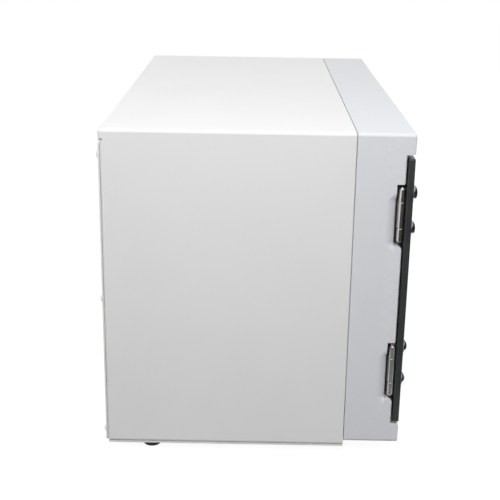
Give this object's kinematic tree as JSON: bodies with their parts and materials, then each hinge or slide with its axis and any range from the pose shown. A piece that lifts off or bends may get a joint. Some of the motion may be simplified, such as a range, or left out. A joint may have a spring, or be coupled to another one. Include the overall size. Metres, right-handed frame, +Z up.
{
  "type": "uv sterilizer cabinet",
  "caption": "Bench-top ultraviolet sterilizer cabinet: folded sheet casing, moulded front bezel, side-hung tinted door, steel chamber with lamp and lift-out rack.",
  "frame": {"origin": "on the floor, under the middle of the bounding box", "axes": "+X from the hinged side to the control side, +Y from the door to the back, +Z up"},
  "size_m": [0.42, 0.261, 0.258],
  "materials": {
    "casing_paint": "satin powder coat, warm white",
    "bezel_plastic": "fine satin moulding, cool light grey",
    "screws": "zinc plated",
    "foot_rubber": "matt black",
    "stainless": "brushed",
    "rack_wire": "bright plated wire",
    "reflector": "bright",
    "holder_plastic": "white",
    "lamp_quartz": "clear quartz",
    "lamp_cap": "satin",
    "door_tint": "dark tinted acrylic, polished edges",
    "hinge_nickel": "worn nickel",
    "bright_chrome": "mirror plated",
    "nut_steel": "plated",
    "pad_rubber": "soft dark grey",
    "control_plate": "satin dark grey",
    "black_plastic": "fine grain",
    "rocker_plastic": "gloss black",
    "lens": "amber",
    "plunger_plastic": "white",
    "magnet": "dark ferrite",
    "ballast_steel": "grey lacquer",
    "loom_sleeve": "black sleeve",
    "brass_pins": "plated"
  },
  "bodies": {
    "cabinet": {"back_panel": "casing_paint", "back_panel_screws": "screws", "ballast": "ballast_steel", "ballast_screws": "screws", "base_plate": "casing_paint", "base_plate_screws": "screws", "bezel_screws": "screws", "chamber_liner": "stainless", "control_panel": "control_plate", "control_panel_screws": "screws", "door_bumpers": "pad_rubber", "feet": "foot_rubber", "foot_screws": "screws", "front_bezel": "bezel_plastic", "fuse_cap": "black_plastic", "fuse_holder": "black_plastic", "hinge_backplates": "hinge_nickel", "hinge_leaf_screws": "screws", "inlet_pins": "brass_pins", "inlet_screws": "screws", "interlock_switch_body": "black_plastic", "lamp_guard": "rack_wire", "lamp_reflector": "reflector", "lampholders": "holder_plastic", "liner_screws": "screws", "liner_stand": "stainless", "lower_hinge_frame_leaf": "hinge_nickel", "lower_hinge_pin": "hinge_nickel", "magnetic_catch": "magnet", "mains_inlet": "black_plastic", "outer_casing": "casing_paint", "pilot_lamp_body": "black_plastic", "pilot_lamp_lens": "lens", "rack_rails": "stainless", "rocker_switch_body": "black_plastic", "starter": "lamp_cap", "starter_socket": "holder_plastic", "terminal_block": "holder_plastic", "timer_body": "black_plastic", "timer_nut": "nut_steel", "upper_hinge_frame_leaf": "hinge_nickel", "upper_hinge_pin": "hinge_nickel", "uv_lamp_end_caps": "lamp_cap", "uv_lamp_tube": "lamp_quartz", "wiring_loom": "loom_sleeve"},
    "door": {"door_panel": "door_tint", "upper_hinge_door_leaf": "hinge_nickel", "lower_hinge_door_leaf": "hinge_nickel", "hinge_pads": "pad_rubber", "door_bolts": "bright_chrome", "door_nuts": "nut_steel", "door_knob": "bright_chrome", "knob_screw": "screws", "striker_plate": "nut_steel"},
    "dial": {"timer_knob": "black_plastic", "timer_shaft": "nut_steel"},
    "rocker": {"power_rocker": "rocker_plastic"},
    "plunger": {"interlock_plunger": "plunger_plastic"},
    "rack": {"wire_rack": "rack_wire"}
  },
  "joints": [
    {"name": "door_swing", "type": "hinge", "parent": "cabinet", "child": "door", "pos_m": [-0.20735, -0.1004, 0.13435], "axis": [0, 0, -1], "range_deg": [0, 95]},
    {"name": "interlock_slide", "type": "slide", "parent": "cabinet", "child": "plunger", "axis": [0, -1, 0], "range_m": [0, 0.003]},
    {"name": "timer_turn", "type": "hinge", "parent": "cabinet", "child": "dial", "pos_m": [0.17725, -0.1085, 0.136], "axis": [0, 1, 0], "range_deg": [0, 300]},
    {"name": "rocker_tilt", "type": "hinge", "parent": "cabinet", "child": "rocker", "pos_m": [0.17725, -0.1085, 0.088], "axis": [-1, 0, 0], "range_deg": [0, 14]},
    {"name": "rack_lift", "type": "slide", "parent": "cabinet", "child": "rack", "axis": [0, 0, 1], "range_m": [0, 0.008]}
  ],
  "couplings": [
    {"joint": "interlock_slide", "follows": "door_swing", "m_per_rad": 0.0018}
  ]
}
